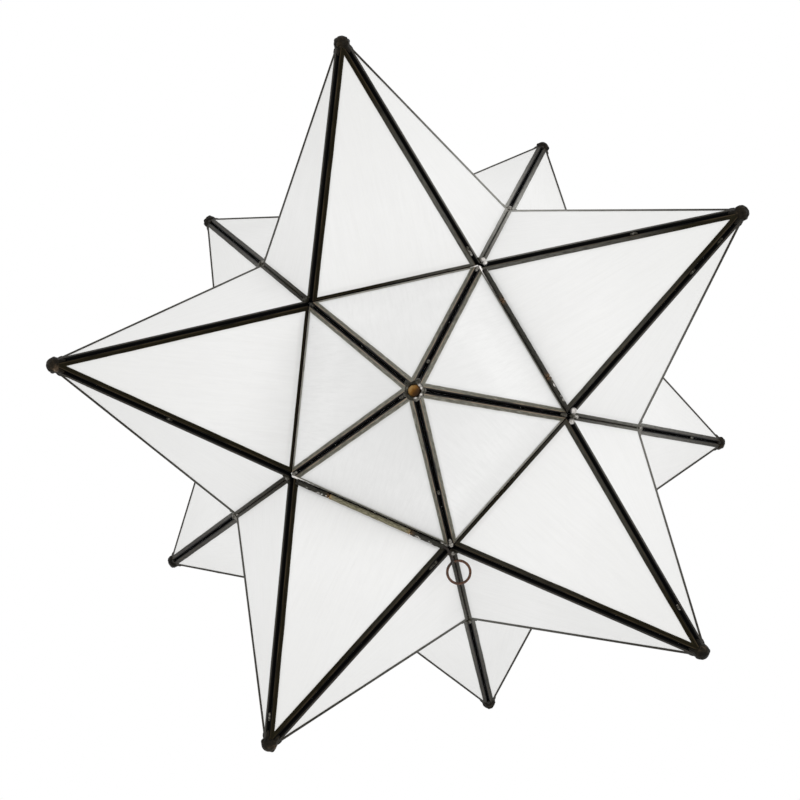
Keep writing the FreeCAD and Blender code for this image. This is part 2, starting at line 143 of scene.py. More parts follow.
# ---- materials
class Finish:
    """A node material, with short calls for its nodes."""

    def __init__(self, name, **sockets):
        self.material = bpy.data.materials.new(name)
        self.material.use_nodes = True
        self.tree = self.material.node_tree
        self.shader = self.tree.nodes["Principled BSDF"]
        self.set(**sockets)
        self.place = self.add("TexCoord").outputs["Object"]

    def add(self, kind, inputs=None, **settings):
        node = self.tree.nodes.new("ShaderNode" + kind)
        for key, value in settings.items():
            setattr(node, key, value)
        for key, value in (inputs or {}).items():
            self.put(node.inputs[key], value)
        return node

    def put(self, socket, value):
        if isinstance(value, bpy.types.NodeSocket):
            self.tree.links.new(value, socket)
        else:
            socket.default_value = value

    def noise(self, scale, detail=4.0, roughness=0.55, distortion=0.0, place=None):
        inputs = {"Scale": scale, "Detail": detail, "Roughness": roughness, "Distortion": distortion,
                  "Vector": place or self.place}
        return self.add("TexNoise", inputs).outputs["Fac"]

    def attribute(self, name):
        return self.add("Attribute", attribute_name=name).outputs["Fac"]

    def streaks(self, first, first_scale, second, second_scale, third=0.0):
        """A texture vector of two values, each with its scale, which draws a noise out in streaks."""
        return self.add("CombineXYZ", {"X": self.maths("MULTIPLY", first, first_scale), "Z": third,
                                       "Y": self.maths("MULTIPLY", second, second_scale)}).outputs[0]

    def ramp(self, value, stops):
        """A grey level or a colour that runs through stops, which are in the order of their positions."""
        node = self.add("ValToRGB", {"Fac": value})
        points = node.color_ramp.elements
        while len(points) < len(stops):
            points.new(0.5)
        for point, (position, colour) in zip(points, stops):
            point.position = position
            shade = colour if isinstance(colour, tuple) else (colour, colour, colour)
            point.color = (*shade, 1)
        return node.outputs["Color"]

    def mix(self, factor, first, second):
        node = self.add("Mix", data_type="RGBA")
        # Input 0 of this node is the factor, and inputs 6 and 7 are the two colours.
        for index, value in ((0, factor), (6, first), (7, second)):
            if isinstance(value, tuple):
                value = (*value, 1)
            self.put(node.inputs[index], value)
        return node.outputs[2]

    def maths(self, operation, first, second=0.0):
        return self.add("Math", {0: first, 1: second}, operation=operation).outputs[0]

    def reach(self):
        """Distance from the centre of the star: 0 at 130 mm and 1 at 255 mm."""
        offset = self.add("VectorMath", {0: self.place, 1: CENTRE * MM}, operation="SUBTRACT").outputs[0]
        length = self.add("VectorMath", {0: offset}, operation="LENGTH").outputs["Value"]
        return self.add("MapRange", {"Value": length, "From Min": 0.13, "From Max": 0.255}).outputs[0]

    def bump(self, height, strength, distance, under=None):
        inputs = {"Height": height, "Strength": strength, "Distance": distance}
        if under:
            inputs["Normal"] = under
        return self.add("Bump", inputs).outputs[0]

    def set(self, **sockets):
        for socket, value in sockets.items():
            self.put(self.shader.inputs[socket.replace("_", " ")], value)

    def finish(self, colour, rough, **sockets):
        self.set(Base_Color=colour, Roughness=rough, **sockets)
        return self.material


def frosted_glass(name, clear, dusk, smoke_and_shade, edge_shade_depth):
    """White glass with soft clouds, brushed streaks and specks, and painted shade by its edges and towards
    its sharp end.
    """
    f = Finish(name, Specular_IOR_Level=0.4)
    foot, left, right, tone = map(f.attribute, ("foot", "left", "right", "tone"))
    sideways = f.maths("SUBTRACT", left, right)
    cloud = f.noise(17.0, 5.0, 0.62, 0.4)
    brush = f.noise(2.2, 6.0, 0.68, 0.3, f.streaks(sideways, 0.16, foot, 0.018, tone))
    hair = f.noise(3.0, 2.0, 0.5, 0.0, f.streaks(sideways, 0.9, foot, 0.03, tone))
    colour = f.mix(f.ramp(cloud, [(0.3, 0.0), (0.72, 1.0)]), clear, dusk)
    colour = f.mix(f.ramp(brush, [(0.42, 0.0), (0.75, 0.4)]), colour, smoke_and_shade)
    colour = f.mix(f.ramp(hair, [(0.56, 0.0), (0.74, 0.22)]), colour, smoke_and_shade)
    # Painted shade: darker towards the sharp end of the point.
    colour = f.mix(f.ramp(f.maths("DIVIDE", foot, 150.0), [(0.3, 0.0), (0.95, 0.75)]), colour, smoke_and_shade)
    # Painted shade: the glass darker along its edges, where the cames shade it.
    edge = f.maths("DIVIDE", f.maths("MINIMUM", foot, f.maths("MINIMUM", left, right)), 20.0)
    painted_edge_shade = f.maths("MULTIPLY", f.ramp(edge, [(0.18, edge_shade_depth), (0.3, 0.0)]),
                    f.ramp(cloud, [(0.35, 0.35), (0.6, 1.0)]))
    colour = f.mix(painted_edge_shade, colour, tuple(c * 0.86 for c in smoke_and_shade))
    cell = f.add("TexVoronoi", {"Scale": 30.0, "Vector": f.place}).outputs["Distance"]
    colour = f.mix(f.ramp(cell, [(0.01, 0.6), (0.022, 0.0)]), colour, (0.4, 0.39, 0.37))
    rough = f.ramp(brush, [(0.3, 0.42), (0.7, 0.56)])
    normal = f.bump(brush, 0.06, 0.002, f.bump(f.noise(420.0, 3.0), 0.08, 0.0004))
    return f.finish(colour, rough, Normal=normal)


def came_metal(name, groove, web, lip, rubbed, wear, end_sheen):
    """Patinated channel: black in the groove from dark patina and painted shade, rubbed tan beside it, and
    greyer out to a lip made lighter by a painted highlight.
    """
    f = Finish(name, Metallic=0.15, Specular_IOR_Level=0.05)
    across, length = map(f.attribute, ("across", "length"))
    streak = f.noise(3.0, 6.0, 0.7, place=f.streaks(length, 0.05, across, 2.2))
    drift = f.noise(4.0, 3.0, 0.5, place=f.streaks(length, 0.012, across, 1.0))
    grain = f.noise(900.0, 4.0, 0.7)
    # Painted shade on the walls of the groove, near black, and a painted highlight on the lighter lip.
    body = f.ramp(across, [(0.0, (0.002, 0.002, 0.002)), (0.3, (0.003, 0.003, 0.003)), (0.4, groove),
                           (0.56, web), (0.84, web), (0.98, lip)])
    # Painted sheen: the door's came lighter towards the point's end.
    body = f.mix(f.maths("MULTIPLY", f.reach(), end_sheen), body, lip)
    # Painted sheen: the came pale grey near some corners of the core and along the door's creases.
    body = f.mix(f.attribute("sheen"), body, (0.41, 0.405, 0.37))
    body = f.mix(f.ramp(streak, [(0.44, 0.0), (0.66, 0.75)]), body, groove)
    body = f.mix(f.ramp(streak, [(0.3, 0.7), (0.44, 0.0)]), body, lip)
    edge = f.ramp(across, [(0.31, 0.0), (0.38, 1.0), (0.5, 0.4), (0.62, 0.0)])
    body = f.mix(f.maths("MULTIPLY", edge, f.ramp(drift, [(0.4, 0.0), (0.54, wear)])), body, rubbed)
    # Painted shade: the walls of the groove forced near black.
    body = f.mix(f.ramp(across, [(0.28, 1.0), (0.36, 0.0)]), body, (0.003, 0.003, 0.003))
    rough = f.ramp(streak, [(0.2, 0.34), (0.8, 0.56)])
    normal = f.bump(streak, 0.25, 0.0004, f.bump(grain, 0.15, 0.0002))
    return f.finish(body, rough, Normal=normal)


def run_solder(name, dark, dull, bright, tint, metallic):
    """Solder that is dark where it is patinated and bright where it is rubbed bare; the same level carries
    painted highlights and painted shade.
    """
    f = Finish(name, Metallic=metallic, Specular_IOR_Level=0.1)
    bare = f.attribute("bare")
    patch = f.noise(420.0, 4.0, 0.6, 0.4)
    level = f.maths("ADD", bare, f.maths("MULTIPLY", f.maths("SUBTRACT", patch, 0.5), 0.5))
    colour = f.ramp(level, [(0.0, dark), (0.32, dull), (0.62, tint), (0.95, bright)])
    rough = f.ramp(level, [(0.2, 0.5), (0.9, 0.28)])
    normal = f.bump(patch, 0.15, 0.0005, f.bump(f.noise(1500.0, 3.0), 0.12, 0.0002))
    return f.finish(colour, rough, Normal=normal)


def rolled_metal(name, dark, light, rust):
    """Rolled or drawn metal with a patina that streaks along it, and rust near its worn ends."""
    f = Finish(name, Metallic=0.6)
    length, around = map(f.attribute, ("length", "around"))
    streak = f.noise(3.0, 5.0, 0.65, 0.2, f.streaks(length, 0.12, around, 5.0))
    patch = f.noise(700.0, 4.0)
    colour = f.mix(f.ramp(streak, [(0.38, 0.0), (0.62, 1.0)]), dark, light)
    worn = f.maths("MULTIPLY", f.attribute("end"), f.ramp(patch, [(0.35, 0.25), (0.6, 1.0)]))
    colour = f.mix(worn, colour, rust)
    normal = f.bump(streak, 0.3, 0.0004, f.bump(patch, 0.25, 0.0003))
    return f.finish(colour, f.ramp(streak, [(0.3, 0.32), (0.7, 0.55)]), Normal=normal)


def patinated_metal(name, dark, light, bare, share, roughness=(0.3, 0.55), metallic=0.7, scale=260.0):
    """Patinated metal with lighter patches and some bare spots."""
    f = Finish(name, Metallic=metallic)
    patch = f.noise(scale, 5.0, 0.6, 0.3)
    spot = f.noise(scale * 0.45, 3.0, 0.5, 0.6)
    colour = f.mix(f.ramp(patch, [(0.35, 0.0), (0.65, 1.0)]), dark, light)
    colour = f.mix(f.ramp(spot, [(1 - share, 0.0), (1.06 - share, 1.0)]), colour, bare)
    low, high = roughness
    normal = f.bump(patch, 0.3, 0.0005, f.bump(f.noise(1500.0, 3.0), 0.2, 0.0002))
    return f.finish(colour, f.ramp(patch, [(0.3, low), (0.7, high)]), Normal=normal)


GLASS = frosted_glass("frosted_glass", (0.89, 0.889, 0.88), (0.865, 0.864, 0.855), (0.79, 0.788, 0.775), 0.45)
GLASS_DOOR = frosted_glass("frosted_glass_door", (0.9, 0.9, 0.893), (0.84, 0.84, 0.833),
                           (0.745, 0.745, 0.737), 0.95)
# The door's came is a lighter copy of the body's came: painted sheen on its flanges.
CAME_BODY = came_metal("came", (0.003, 0.0025, 0.001), (0.011, 0.0088, 0.0035), (0.031, 0.0245, 0.01),
                       (0.066, 0.047, 0.025), 0.8, 0.0)
CAME_DOOR_SHEEN = came_metal("came_door", (0.035, 0.033, 0.024), (0.125, 0.121, 0.095), (0.4, 0.39, 0.335),
                       (0.34, 0.26, 0.18), 0.95, 0.2)
SOLDER = run_solder("solder", (0.01, 0.009, 0.006), (0.055, 0.051, 0.04), (0.76, 0.73, 0.7),
                    (0.29, 0.275, 0.25), 0.85)
TIP_SOLDER = run_solder("tip_solder", (0.003, 0.0022, 0.001), (0.014, 0.01, 0.005), (0.5, 0.42, 0.34),
                        (0.085, 0.058, 0.036), 0.05)
TUBE = rolled_metal("tube", (0.006, 0.0055, 0.004), (0.04, 0.037, 0.027), (0.2, 0.105, 0.04))
TUBE_TAN = rolled_metal("tube_tan", (0.06, 0.053, 0.028), (0.3, 0.275, 0.18), (0.36, 0.2, 0.06))
WIRE = rolled_metal("latch_wire", (0.008, 0.006, 0.005), (0.036, 0.027, 0.022), (0.115, 0.052, 0.028))
BRONZE = patinated_metal("dark_bronze", (0.02, 0.016, 0.011), (0.06, 0.048, 0.034), (0.16, 0.12, 0.08),
                         0.38, scale=90.0)
BRASS = patinated_metal("brass", (0.45, 0.32, 0.13), (0.72, 0.55, 0.26), (0.8, 0.65, 0.35), 0.45,
                        (0.25, 0.4), 1.0, 120.0)
ZINC = patinated_metal("zinc_steel", (0.42, 0.43, 0.44), (0.62, 0.63, 0.64), (0.75, 0.75, 0.72), 0.42,
                       (0.25, 0.45), 1.0, 160.0)
LAMP_METAL = patinated_metal("lamp_metal", (0.55, 0.54, 0.52), (0.75, 0.74, 0.72), (0.8, 0.8, 0.78), 0.4,
                             (0.22, 0.38), 1.0, 140.0)


def amber_core():
    """Brown core, tan on one side and dark in painted shade on the other."""
    f = Finish("tip_core", Metallic=0.1, Specular_IOR_Level=0.1)
    recess_shade = f.attribute("recess_shade")
    patch = f.noise(500.0, 4.0, 0.6, 0.3)
    level = f.maths("ADD", recess_shade, f.maths("MULTIPLY", f.maths("SUBTRACT", patch, 0.5), 0.5))
    colour = f.ramp(level, [(0.0, (0.31, 0.185, 0.065)), (0.35, (0.155, 0.068, 0.01)),
                            (0.65, (0.05, 0.02, 0.003)), (1.0, (0.014, 0.007, 0.002))])
    return f.finish(colour, f.ramp(patch, [(0.3, 0.3), (0.7, 0.5)]), Normal=f.bump(patch, 0.2, 0.0004))


def clouded(name, scale, detail, dark, light, rough, fine=None, **sockets):
    """A smooth surface with faint clouds in its colour and gloss, and a fine relief if its scale is given."""
    f = Finish(name, **sockets)
    cloud = f.noise(scale, detail)
    if fine:
        f.set(Normal=f.bump(f.noise(fine), 0.05, 0.0003))
    low, high = rough
    return f.finish(f.mix(cloud, dark, light), f.ramp(cloud, [(0.3, low), (0.7, high)]))


TIP_CORE = amber_core()
PORCELAIN = clouded("porcelain", 60.0, 3.0, (0.86, 0.85, 0.81), (0.92, 0.91, 0.88), (0.2, 0.3), 400.0,
                    Coat_Weight=0.6, Coat_Roughness=0.08)
LAMP_FROST = clouded("lamp_glass", 120.0, 4.0, (0.88, 0.87, 0.85), (0.93, 0.92, 0.9), (0.45, 0.6), 120.0,
                     Subsurface_Weight=0.1)
BLACK_GLASS = clouded("lamp_insulator", 300.0, 4.0, (0.02, 0.02, 0.022), (0.05, 0.05, 0.055), (0.15, 0.3),
                      Coat_Weight=0.5)


# ---- meshes
def add_object(name, data):
    made = bpy.data.objects.new(name, data)
    bpy.context.scene.collection.objects.link(made)
    return made


def new_piece(name, work, material, body, *nodes, slot=None):
    """Turn a mesh in millimetres into a piece on a body, in place of some CAD nodes; the slot argument is not
    used."""
    mesh = work.mesh(name)
    mesh.transform(Matrix.Diagonal((MM, MM, MM, 1)))
    mesh.materials.append(material)
    mesh.shade_smooth()
    piece = add_object(name, mesh)
    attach(piece, body)
    if nodes:
        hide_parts(*nodes)
    return piece


class Mesher:
    """A mesh under construction, with a float value for each of its layers at every vertex."""

    def __init__(self, *layers):
        self.bm = bmesh.new()
        self.layers = [self.bm.verts.layers.float.new(layer) for layer in layers]

    def vertex(self, place, *values):
        made = self.bm.verts.new(place)
        for layer, value in zip(self.layers, values):
            made[layer] = value
        return made

    def bridge(self, first, second, closed=True):
        """Faces between two rows of vertices; a row of one vertex is a pole."""
        count = max(len(first), len(second))
        for k in range(count if closed else count - 1):
            n = (k + 1) % count
            ring = [row[i % len(row)] for row, i in ((first, k), (first, n), (second, n), (second, k))]
            self.bm.faces.new(list(dict.fromkeys(ring)))

    def skin(self, rows, around=True, closed=True):
        """Bridge each row to the next one, and the last to the first if the rows go around."""
        for j, row in enumerate(rows if around else rows[:-1]):
            self.bridge(row, next_of(rows, j), closed)

    def trim(self, height):
        geometry = self.bm.verts[:] + self.bm.edges[:] + self.bm.faces[:]
        cut = bmesh.ops.bisect_plane(self.bm, geom=geometry, plane_co=(0, 0, height), plane_no=(0, 0, 1),
                                     clear_outer=True)
        edges = [item for item in cut["geom_cut"] if isinstance(item, bmesh.types.BMEdge)]
        bmesh.ops.holes_fill(self.bm, edges=edges, sides=0)

    def mesh(self, name):
        bmesh.ops.recalc_face_normals(self.bm, faces=self.bm.faces[:])
        made = bpy.data.meshes.new(name)
        self.bm.to_mesh(made)
        self.bm.free()
        return made


def inset_corner(corner, before, after, inset_before, inset_after):
    to_before = (before - corner).normalized()
    to_after = (after - corner).normalized()
    spread = sin(to_before.angle(to_after))
    return corner + to_after * (inset_before / spread) + to_before * (inset_after / spread)


def inset_side(side, ridge, crease):
    """The corners of a side after its ridges and its crease have moved in."""
    end, left, right = side
    return [inset_corner(end, left, right, ridge, ridge), inset_corner(left, right, end, crease, ridge),
            inset_corner(right, end, left, ridge, crease)]


# ---- panes
def build_pane(work, point, side, number, k):
    """One sheet of glass, with the distance from its crease and its two ridges at each corner."""
    tone = 3.7 * number + 1.3 * k
    end, left, right = side
    normal = outward(*side)
    middle = (end + left + right) / 3
    gap = DOOR_GAP if point == "door" else 0
    edges = ((left, right), (end, left), (right, end))
    inward = [way_in(start, finish, normal, middle) for start, finish in edges]
    rows = []
    for share, height in ((PANE_BEVEL, -GLASS_HALF), (0, PANE_BEVEL - GLASS_HALF),
                          (0, GLASS_HALF - PANE_BEVEL), (PANE_BEVEL, GLASS_HALF)):
        margin = GLASS_MARGIN + share
        row = []
        for corner in inset_side(side, RIDGE_MITRE + margin, CREASE_MITRE + gap + margin):
            spans = [(corner - start).dot(way) for (start, finish), way in zip(edges, inward)]
            row.append(work.vertex(corner + normal * height, *spans, tone))
        rows.append(row)
    work.skin(rows, around=False)
    work.bm.faces.new(rows[0][::-1])
    work.bm.faces.new(rows[-1])


# ---- cames
# Outline of half the channel, as (way in from its outer wall in flange widths, extra way in, height, across).
CHANNEL = [(0, 0.00, 0.4, 0.0), (0, 0.00, 0.85, 0.1), (0, 0.08, 1.05, 0.2), (0, 0.25, 1.13, 0.28),
           (0, 0.5, 1.17, 0.36), (0.35, 0, 1.19, 0.55), (0.75, 0, 1.18, 0.8), (1, -0.12, 1.16, 0.95),
           (1, -0.01, 1.09, 1.0), (1, -0.02, 0.96, 1.0), (0.6, 0, 0.95, 0.6), (0, 0.2, 0.95, 0.1)]
OUTLINE = CHANNEL + [(share, extra, -height, level) for share, extra, height, level in reversed(CHANNEL)]
STATION = 5.0


# Where the came gets a pale painted sheen: a corner of the core, how far that reaches and how strong it is
# there.
SHEEN_SPOTS = [(LOW_BELT[1], 135.0, 0.97), (LOW_BELT[2], 135.0, 0.45), (LOW_BELT[3], 120.0, 0.25),
              (LOW_BELT[4], 90.0, 0.18), (LOW_BELT[0], 90.0, 0.18)]
# Painted sheen along the door's creases.
CREASE_SHEEN = 0.58


def sheen_at(place):
    return max(0.0, *(most * (1 - (place - spot).length / reach) for spot, reach, most in SHEEN_SPOTS))


# How much narrower the flanges of the lower points are where they face the door.
SLIM = [0.5, 0.3, 0.5, 0.8, 0.8]


def came_stations(side, normal, seed):
    """Places round a came, each with how far the hand-rolled channel sways and lifts there."""
    middle = sum(side, Vector()) / 3
    stations = []
    travelled = 500 * seed
    for a in range(3):
        start = side[a]
        edge = next_of(side, a) - start
        inward = way_in(start, start + edge, normal, middle)
        steps = max(2, round(edge.length / STATION))
        for step in range(steps):
            share = step / steps
            place = start + edge * share
            slow = noise.noise(place * 0.05 + Vector((seed, 0, 0)))
            quick = noise.noise(place * 0.21 + Vector((0, seed, 0)))
            loose = 1 if step else 0
            stations.append((a, share, inward * (loose * (0.16 * slow + 0.07 * quick)), loose * 0.035 * quick,
                             travelled + edge.length * share))
        travelled += edge.length
    return stations


def build_came(work, point, side, number, k):
    """One triangular came: a bent channel swept round a pane."""
    normal = outward(*side)
    gap = DOOR_GAP if point == "door" else 0
    faces_door = point.startswith("lower") and k == 0
    width = CREASE_FLANGE - (SLIM[int(point[-1]) - 1] if faces_door else 0)
    stations = came_stations(side, normal, number * 5 + k + 1)
    rows = []
    for share, extra, height, level in OUTLINE:
        corners = inset_side(side, RIDGE_MITRE + share * RIDGE_FLANGE + extra,
                             CREASE_MITRE + gap + share * width + extra)
        row = []
        for a, along, sway, lift, length in stations:
            place = corners[a].lerp(next_of(corners, a), along) + sway * share
            # Painted sheen: pale along the door's creases, and near some corners of the core elsewhere.
            if point == "door":
                sheen = CREASE_SHEEN if a == 1 and along else 0.0
            else:
                sheen = sheen_at(place)
            raised = height + copysign(lift, height)
            row.append(work.vertex(place + normal * raised, level, length, sheen))
        rows.append(row)
    work.skin(rows)


def build_sides(kind, slot, node, layers, finishes, build):
    """Panes or cames, five to a piece; the top point's end in the hood."""
    for number, point in enumerate(FEET):
        work = Mesher(*layers)
        for k, side in enumerate(sides_of(point)):
            build(work, point, side, number, k)
        if point == "top":
            work.trim(TRIM_HEIGHT)
        body, finish = ("door", finishes[1]) if point == "door" else ("star", finishes[0])
        piece = new_piece(f"{kind}_{point}", work, finish, body, f"{node}_{point}", slot=slot)
        if build == build_pane:
            piece.data.shade_flat()


build_sides("panes", "frosted_glass", "glass", ("foot", "left", "right", "tone"), (GLASS, GLASS_DOOR),
            build_pane)
build_sides("channel", "came", "came", ("across", "length", "sheen"), (CAME_BODY, CAME_DOOR_SHEEN), build_came)


# ---- solder
# A ball of solder: its place, radius and how bare it is, a level that also carries painted highlights, drawn
# out along a direction if one is given.
Lump = namedtuple("Lump", "place radius bare direction stretch", defaults=(None, 1.0))


def melt(lumps, voxel):
    """A mesh of one group of lumps run together."""
    bm = bmesh.new()
    for lump in lumps:
        made = bmesh.ops.create_icosphere(bm, subdivisions=2, radius=lump.radius)["verts"]
        if lump.direction is not None:
            turn = lump.direction.to_track_quat("Z", "Y").to_matrix().to_4x4()
            bmesh.ops.transform(bm, matrix=turn @ Matrix.Diagonal((1, 1, lump.stretch, 1)), verts=made)
        bmesh.ops.translate(bm, vec=lump.place, verts=made)
    rough = bpy.data.meshes.new("rough")
    bm.to_mesh(rough)
    bm.free()
    holder = add_object("rough", rough)
    remesh = holder.modifiers.new("remesh", "REMESH")
    remesh.mode = "VOXEL"
    remesh.voxel_size = voxel
    soften = holder.modifiers.new("soften", "SMOOTH")
    soften.factor = 0.6
    soften.iterations = 3
    mesh = bpy.data.meshes.new_from_object(holder.evaluated_get(bpy.context.evaluated_depsgraph_get()))
    bpy.data.objects.remove(holder)
    return mesh


def fuse(name, groups, voxel, roughness, seed, body, *nodes, ripple=0.9, relief=0.35, material=SOLDER,
         slot=None):
    """Groups of lumps, each run together and roughened, as bare as their lumps, with painted highlights on
    what stands up and painted shade in the pits.
    """
    work = Mesher("bare")
    shift = Vector((seed * 3.7, seed * 1.3, seed * 2.1))
    for lumps in groups:
        mesh = melt(lumps, voxel)
        near = kdtree.KDTree(len(lumps))
        for index, lump in enumerate(lumps):
            near.insert(lump.place, index)
        near.balance()
        made = []
        for vertex in mesh.vertices:
            fine = noise.noise(vertex.co * ripple * 2.7 + shift)
            height = noise.noise(vertex.co * ripple + shift) + 0.4 * fine
            total = 0
            weight = 0
            for place, index, distance in near.find_n(vertex.co, 3):
                pull = 1 / (0.2 + distance / lumps[index].radius) ** 4
                total += lumps[index].bare * pull
                weight += pull
            # Painted highlights on raised places and painted shade in the pits.
            made.append(work.vertex(vertex.co + vertex.normal * (height * roughness),
                                    total / weight + relief * height))
        for face in mesh.polygons:
            work.bm.faces.new([made[k] for k in face.vertices])
        bpy.data.meshes.remove(mesh)
    new_piece(name, work, material, body, *nodes, slot=slot)


# The photograph's right and up, and the side on which the solder gets painted highlights.
CAMERA_RIGHT = Vector((-0.504, 0.863, 0.035))
CAMERA_UP = Vector((0.862, 0.505, -0.044))
HIGHLIGHT_SIDE = (CAMERA_RIGHT * 0.8 - CAMERA_UP * 0.6).normalized()
CAP_RADIUS = 5.1
CAP_SINK = 4.0
CAP_KNOBS = 14
COLLAR_LUMPS = 28
COLLAR_RADIUS = 4.15
DISC_SIDES = 44
DISC_SINK = 1.9
DISC_PROFILE = [(0.0, 0.62), (0.9, 0.6), (1.7, 0.48), (2.3, 0.25), (2.8, -0.1), (3.15, -0.6), (3.1, -2.4),
                (0.0, -2.4)]


def tip_lumps(point, seed, chance):
    """The knobbly cap on the end of a point, with a few painted highlights on its highlight side."""
    axis = axis_of(point)
    side = axis.orthogonal().normalized()
    middle = sharp_end(point) - axis * CAP_SINK
    lumps = [Lump(middle, CAP_RADIUS, 0.1)]
    for k in range(CAP_KNOBS):
        tilt = radians(chance.choice((-28, 8, 38)))
        out = Matrix.Rotation(k * 2.4 + seed, 3, axis) @ side
        way = out * cos(tilt) + axis * sin(tilt)
        # Painted highlights: a few knobs bright on the highlight side.
        bare = 0.62 if way.dot(HIGHLIGHT_SIDE) > 0.8 and k % 2 else chance.uniform(0.0, 0.35)
        lumps.append(Lump(middle + way * 3.8, chance.uniform(1.3, 1.85), bare))
    for corner in FEET[point]:
        down = (corner - sharp_end(point)).normalized()
        lumps.append(Lump(sharp_end(point) + down * 8.6, 1.35, chance.uniform(0.0, 0.2), down, 2.4))
    return lumps


def build_tips():
    chance = random.Random(4)
    for group in ("lower", "upper"):
        tips = [tip_lumps(f"{group}_{i + 1}", i * 1.7, chance) for i in range(5)]
        fuse(f"tips_{group}", tips, 0.3, 0.12, 3, "star", f"tip_cap_{group}", f"tip_bead_{group}",
             ripple=0.6, relief=0.2, material=TIP_SOLDER)


def build_door_tip():
    """The end of the door's point: a brown disc sunk in a collar of run solder, with painted highlights on
    one side of the collar and painted shade on that side of the disc.
    """
    chance = random.Random(9)
    end = DOOR_END + (HIGHLIGHT_SIDE * 0.3 - CAMERA_UP * 0.75)
    axis = axis_of("door")
    side = axis.orthogonal().normalized()
    collar = []
    for k in range(COLLAR_LUMPS):
        out = Matrix.Rotation(tau * k / COLLAR_LUMPS, 3, axis) @ side
        # Painted highlights: the collar brighter on its highlight side.
        bare = 0.16 + 0.2 * max(0, out.dot(HIGHLIGHT_SIDE)) + chance.uniform(-0.12, 0.12)
        collar.append(Lump(end + out * (COLLAR_RADIUS + chance.uniform(-0.1, 0.2)) - axis * 2.9,
                           chance.uniform(0.95, 1.2), bare))
    for corner in FEET["door"]:
        down = (corner - DOOR_END).normalized()
        # Painted highlights on the ridge ends on the highlight side.
        bare = 0.22 + 0.2 * max(0, down.dot(HIGHLIGHT_SIDE))
        collar.append(Lump(DOOR_END + down * 8.4 + axis * 0.4, 1.5, bare, down, 1.6))
    # Painted highlights: small bright beads on the highlight side of the collar.
    for turn in (-0.75, 0.1, 1.0, 1.5):
        out = Matrix.Rotation(turn, 3, axis) @ HIGHLIGHT_SIDE
        collar.append(Lump(end + out * 3.7 - axis * 2.0, 0.7, 1.0))
    fuse("door_tip_collar", [collar], 0.22, 0.1, 5, "door", "tip_cap_door", relief=0.2, slot="tip_solder")
    work = Mesher("recess_shade")
    rows = []
    for radius, height in DISC_PROFILE:
        steps = DISC_SIDES if radius else 1
        row = []
        for k in range(steps):
            turn = tau * k / steps
            out = Matrix.Rotation(turn, 3, axis) @ side
            dent = 1 + 0.025 * sin(3 * turn) + 0.015 * sin(7 * turn)
            # Painted shade: the disc darker on the side where the collar has its painted highlights.
            recess_shade = 0.48 + 0.55 * out.dot(HIGHLIGHT_SIDE) * radius / 2.8
            row.append(work.vertex(end + out * (radius * dent) + axis * (height - DISC_SINK), recess_shade))
        rows.append(row)
    work.skin(rows, around=False)
    new_piece("door_tip_disc", work, TIP_CORE, "door", "tip_bead_door")


def joint_lumps(corner, chance, size=1.0, bare=0.3):
    """A joint of three ridges and three creases: a heart with an arm into each of them."""
    out = (corner - CENTRE).normalized()
    meeting = [point for point in FEET if corner in FEET[point]]
    lumps = [Lump(corner + out * 1.5, 2.3 * size, bare)]
    for point in meeting:
        up_ridge = (sharp_end(point) - corner).normalized()
        for reach in (3.0, 5.6):
            lumps.append(Lump(corner + up_ridge * reach - out * 0.15, 1.35 * size,
                              bare + chance.uniform(-0.2, 0.25), up_ridge, 1.3))
        foot = FEET[point]
        crease = (next_of(foot, foot.index(corner)) - corner).normalized()
        lumps.append(Lump(corner + crease * 4.0 + out * 1.1, size, bare + chance.uniform(-0.2, 0.2),
                          crease, 1.6))
    return lumps


def build_belts():
    chance = random.Random(21)
    shades = (0.34, 0.5, 0.42, 0.26, 0.38)
    belt = [joint_lumps(corner, chance, 0.95, shades[number % 5])
            for number, corner in enumerate(HIGH_BELT + LOW_BELT)]
    fuse("joints_belt", belt, 0.34, 0.2, 8, "star", "solder_belt")
    crown = [joint_lumps(corner, chance, 1.0, 0.3) for corner in CROWN]
    fuse("joints_crown", crown, 0.34, 0.2, 12, "star", "solder_crown")


